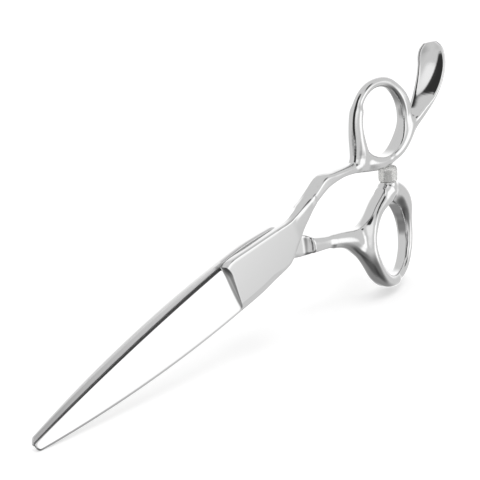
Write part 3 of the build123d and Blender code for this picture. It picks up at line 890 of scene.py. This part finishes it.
def floor():
    """A flat white floor, seen only from its upper side, with a lamp that lights only it.

    It leans, as the surface in the photo does.  The thumb handle swings down through
    it as the shears open, and is hidden by it there.
    """
    mesh = bpy.data.meshes.new("floor")
    side = GROUND.cross(Vector((0, 0, 1))).normalized()
    ahead = GROUND.cross(side).normalized()
    corners = [(1, 1), (-1, 1), (-1, -1), (1, -1)]
    at = GROUND_AT * MM
    spots = [at + FLOOR_REACH * (a * side + b * ahead) for a, b in corners]
    mesh.from_pydata(spots, [], [(0, 1, 2, 3)])
    obj = bpy.data.objects.new("floor", mesh)
    bpy.context.scene.collection.objects.link(obj)
    if mesh.polygons[0].normal.dot(GROUND) < 0:
        mesh.flip_normals()
    mat = bpy.data.materials.new("white_floor")
    mat.use_nodes = True
    nodes, links = mat.node_tree.nodes, mat.node_tree.links
    nodes.clear()
    out = nodes.new("ShaderNodeOutputMaterial")
    diffuse = nodes.new("ShaderNodeBsdfDiffuse")
    diffuse.inputs["Color"].default_value = (FLOOR_TONE, FLOOR_TONE, FLOOR_TONE, 1)
    glow = nodes.new("ShaderNodeEmission")
    glow.inputs["Strength"].default_value = FLOOR_GLOW
    both = nodes.new("ShaderNodeAddShader")
    clear = nodes.new("ShaderNodeBsdfTransparent")
    pick = nodes.new("ShaderNodeMixShader")
    side_of = nodes.new("ShaderNodeNewGeometry")
    links.new(diffuse.outputs[0], both.inputs[0])
    links.new(glow.outputs[0], both.inputs[1])
    links.new(side_of.outputs["Backfacing"], pick.inputs[0])
    links.new(both.outputs[0], pick.inputs[1])
    links.new(clear.outputs[0], pick.inputs[2])
    links.new(pick.outputs[0], out.inputs["Surface"])
    mesh.materials.append(mat)
    obj.visible_glossy = False
    obj.visible_transmission = False
    lamp = bpy.data.lights.new("overhead", "SUN")
    lamp.energy = OVERHEAD_ENERGY
    lamp.angle = OVERHEAD_SPREAD
    overhead = bpy.data.objects.new("overhead", lamp)
    overhead.rotation_euler = GROUND.to_track_quat("Z", "Y").to_euler()
    bpy.context.scene.collection.objects.link(overhead)
    lit = bpy.data.collections.new("lit_by_overhead")
    lit.objects.link(obj)
    overhead.light_linking.receiver_collection = lit


# Soft patches of the light tent, as the polished steel shows it.  Each is the bearing
# and height of its middle in degrees, the radii where it ends and begins to fade, and
# how much lighter or darker it is than the cloth.  Bearing 0 is the camera's side.
TENT_PATCHES = [
    (180, -8, 18, 55, 1.75),      # bright sweep behind
    (12, 38, 8, 34, 1.45),        # main lamp
    (79, 6, 8, 24, 1.80),         # side lamp, which the blade's face shows
    (50, -38, 12, 46, 0.25),      # dark table edge
    (-12, -48, 8, 40, 0.35),
    (-58, -25, 6, 28, 0.35),
    (86, 46, 4, 15, 0.05),        # lamp stand
    (0, -90, 20, 60, 0.40),
]
TENT_LIGHT = 0.64
GAP_BEARING = -34                 # dark gap between two panels of the tent
GAP_HALF_WIDTH = (15, 25)         # where it is darkest and where it ends, in degrees
GAP_FOOT = (-12, 4)               # heights where it begins and is darkest
GAP_FACING = (0.05, 0.3)          # cosines off its bearing where it begins and is whole
GAP_LIGHT = 0.05


def tent_direction(bearing, height):
    """A direction in the tent, from a bearing and a height above the floor."""
    ahead = (BACK - GROUND * BACK.dot(GROUND)).normalized()
    side = GROUND.cross(ahead)
    a, h = math.radians(bearing), math.radians(height)
    return math.cos(h) * (math.cos(a) * ahead + math.sin(a) * side) + math.sin(h) * GROUND


def studio():
    """A soft light tent round the shears, plain white to the camera itself."""
    world = bpy.data.worlds.new("tent")
    world.use_nodes = True
    bpy.context.scene.world = world
    nodes, links = world.node_tree.nodes, world.node_tree.links
    light = nodes["Background"]
    light.inputs["Color"].default_value = (1, 1, 1, 1)
    where = nodes.new("ShaderNodeTexCoord")

    def share(direction):
        """Cosine of the angle from a direction."""
        dot = nodes.new("ShaderNodeVectorMath")
        dot.operation = "DOT_PRODUCT"
        dot.inputs[1].default_value = direction.normalized()
        links.new(where.outputs["Generated"], dot.inputs[0])
        return dot.outputs["Value"]

    def ramp(value, start, stop, low, high):
        """A soft step from low to high."""
        node = nodes.new("ShaderNodeMapRange")
        node.interpolation_type = "SMOOTHSTEP"
        node.inputs["From Min"].default_value = start
        node.inputs["From Max"].default_value = stop
        node.inputs["To Min"].default_value = low
        node.inputs["To Max"].default_value = high
        links.new(value, node.inputs["Value"])
        return node.outputs["Result"]

    def maths(operation, a, b=None):
        """A Math node on sockets or numbers."""
        node = nodes.new("ShaderNodeMath")
        node.operation = operation
        for socket, value in zip(node.inputs, (a, b)):
            if isinstance(value, (int, float)):
                socket.default_value = value
            elif value is not None:
                links.new(value, socket)
        return node.outputs[0]

    def cosine(degrees):
        return math.cos(math.radians(degrees))

    total = maths("MULTIPLY", TENT_LIGHT, 1.0)
    for bearing, height, inner, outer, factor in TENT_PATCHES:
        aim = share(tent_direction(bearing, height))
        total = maths("MULTIPLY", total, ramp(aim, cosine(outer), cosine(inner), 1.0, factor))
    inner, outer = [math.sin(math.radians(a)) for a in GAP_HALF_WIDTH]
    off_gap = maths("ABSOLUTE", share(tent_direction(GAP_BEARING + 90, 0)))
    strip = ramp(off_gap, inner, outer, 1.0, 0.0)
    facing = ramp(share(tent_direction(GAP_BEARING, 0)), *GAP_FACING, 0.0, 1.0)
    low, high = [math.sin(math.radians(a)) for a in GAP_FOOT]
    above = ramp(share(GROUND), low, high, 0.0, 1.0)
    gap = maths("MULTIPLY", maths("MULTIPLY", strip, facing), above)
    total = maths("MULTIPLY", total, ramp(gap, 0.0, 1.0, 1.0, GAP_LIGHT))
    path = nodes.new("ShaderNodeLightPath")
    seen = nodes.new("ShaderNodeMix")
    seen.data_type = "FLOAT"
    seen.inputs["B"].default_value = 1.0
    links.new(path.outputs["Is Camera Ray"], seen.inputs["Factor"])
    links.new(total, seen.inputs["A"])
    links.new(seen.outputs["Result"], light.inputs["Strength"])


# ---------------------------------------------------------------- assembly
def keep(obj, mats, body, slot, *nodes):
    """A piece's materials, body and the CAD nodes it stands for; slot is not used."""
    paint(obj, *mats)
    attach(obj, body)
    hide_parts(*nodes)


def main():
    bpy.context.scene.view_settings.view_transform = "Standard"
    camera()
    floor()
    studio()
    blade_steel = steel("satin_blade_steel", (0.92, 0.92, 0.92), 0.08, 0.16, 2600, 0.000001)
    honed = steel("honed_inner_steel", (0.80, 0.80, 0.80), 0.26, 0.42, 4200, 0.000006)
    # A dark steel stands for the dark reflection that the photo shows along the edge.
    painted_edge_reflection = steel("painted_edge_reflection_steel", (0.07, 0.07, 0.07), 0.10, 0.18, 2600, 0.000001)
    handle_steel = steel("polished_handle_steel", (0.88, 0.88, 0.88), 0.04, 0.09, 1500, 0.000001)
    for side, name in (("finger_side", "finger_blade"), ("thumb_side", "thumb_blade")):
        half = half_mesh(name + "_ground", side == "thumb_side")
        keep(half, (blade_steel, handle_steel, honed, painted_edge_reflection), side, "blade_steel", name)
    finger = grown("finger_handle_forged", finger_field, *FINGER_SPAN, GRID)
    keep(finger, (handle_steel,), "finger_side", "handle_steel", "finger_handle")
    thumb = grown("thumb_handle_forged", thumb_field, *THUMB_SPAN, GRID)
    keep(thumb, (handle_steel,), "thumb_side", "handle_steel", "thumb_handle")
    keep(bumper_mesh(), (clear_silicone(),), "thumb_side", "clear_silicone", "bumper")
    dark = steel("dark_post_steel", (0.10, 0.10, 0.11), 0.3, 0.45, 1200, 0.000002)
    ground = steel("ground_steel", (0.72, 0.72, 0.73), 0.16, 0.28, 1600, 0.000002)
    finishes = {
        "bumper_post": dark, "tension_dial": ground, "cap_screw": ground,
        "spring_washer": ground, "ratchet_plate": ground, "click_leaf": dark,
        "pivot_stud": ground, "stud_key_pin": dark, "blade_side_race": ground,
        "dial_side_race": ground, "bearing_balls": ground,
        "ball_cage": plastic("bronze", (0.62, 0.42, 0.18), 0.3),
        "pivot_bush": plastic("bearing_bronze", (0.60, 0.40, 0.17), 0.28),
        "ride_washer": plastic("washer_polymer", (0.82, 0.81, 0.76), 0.4),
    }
    for node, finish in finishes.items():
        paint(bpy.data.objects[node], finish)


main()
